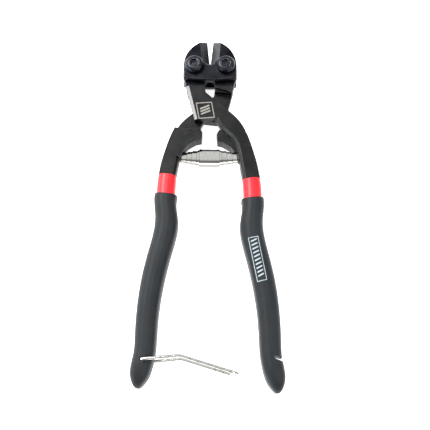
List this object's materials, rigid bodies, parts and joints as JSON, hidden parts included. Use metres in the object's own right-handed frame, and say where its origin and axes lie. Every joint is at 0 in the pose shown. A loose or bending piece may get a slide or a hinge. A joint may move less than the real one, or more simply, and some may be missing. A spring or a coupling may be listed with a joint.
{
  "type": "compact spring-opened wire and bolt cutter",
  "caption": "Compact cutter with short crossed-lever blades between bolted head plates, a double-cone return spring, rubber grips and a wire latch that holds the handles together.",
  "frame": {"origin": "middle of the bounding box's underside: under the tool's middle as it lies on its back", "axes": "+X to the right, +Y towards the blades, +Z out of the front face"},
  "size_m": [0.0818, 0.202, 0.0253],
  "materials": {
    "blackened_steel": "satin black oxide",
    "blackened_fastener": "glossier black oxide",
    "lever_steel": "satin dark grey, forged and phosphated",
    "bright_steel": "turned",
    "bright_chrome": "polished plating",
    "red_liner": "smooth, slightly glossy",
    "black_rubber": "matt dipped rubber"
  },
  "bodies": {
    "head": {"front_plate": "blackened_steel", "back_plate": "blackened_steel", "left_pivot_bolt": "blackened_fastener", "right_pivot_bolt": "blackened_fastener", "left_pivot_sleeve": "bright_steel", "right_pivot_sleeve": "bright_steel", "left_lock_washer": "blackened_fastener", "right_lock_washer": "blackened_fastener", "left_pivot_nut": "blackened_fastener", "right_pivot_nut": "blackened_fastener"},
    "right_handle": {"right_handle_lever": "lever_steel", "right_grip_liner": "red_liner", "right_grip": "black_rubber", "right_spring_peg": "bright_steel"},
    "left_handle": {"left_handle_lever": "lever_steel", "left_grip_liner": "red_liner", "left_grip": "black_rubber", "left_spring_peg": "bright_steel"},
    "spring": {"return_spring": "bright_chrome"},
    "latch_pivot": {"latch_bush": "bright_steel"},
    "latch": {"latch_bail": "bright_chrome"}
  },
  "joints": [
    {"name": "right_handle_close", "type": "hinge", "parent": "head", "child": "right_handle", "pos_m": [-0.009, 0.08323, 0.0135], "axis": [0, 0, -1], "range_deg": [0, 5.6], "stiffness_Nm_per_rad": 16, "springref_deg": -5.53},
    {"name": "left_handle_close", "type": "hinge", "parent": "head", "child": "left_handle", "pos_m": [0.009, 0.08323, 0.0135], "axis": [0, 0, 1], "range_deg": [0, 5.6], "stiffness_Nm_per_rad": 16, "springref_deg": -5.53},
    {"name": "spring_shift", "type": "slide", "parent": "head", "child": "spring", "axis": [0, -1, 0], "range_m": [0, 0.00224], "deforming": ["return_spring"]},
    {"name": "latch_clear", "type": "hinge", "parent": "left_handle", "child": "latch_pivot", "pos_m": [-0.0345, -0.08427, 0.0135], "axis": [0, 0, -1], "range_deg": [0, 33.61]},
    {"name": "latch_swing", "type": "hinge", "parent": "latch_pivot", "child": "latch", "pos_m": [-0.0345, -0.08427, 0.0135], "axis": [0, 0, 1], "range_deg": [-150, 50]}
  ],
  "couplings": [
    {"joint": "left_handle_close", "follows": "right_handle_close", "ratio": 1},
    {"joint": "spring_shift", "follows": "right_handle_close", "m_per_rad": 0.022714},
    {"joint": "latch_clear", "follows": "right_handle_close", "ratio": 6}
  ]
}
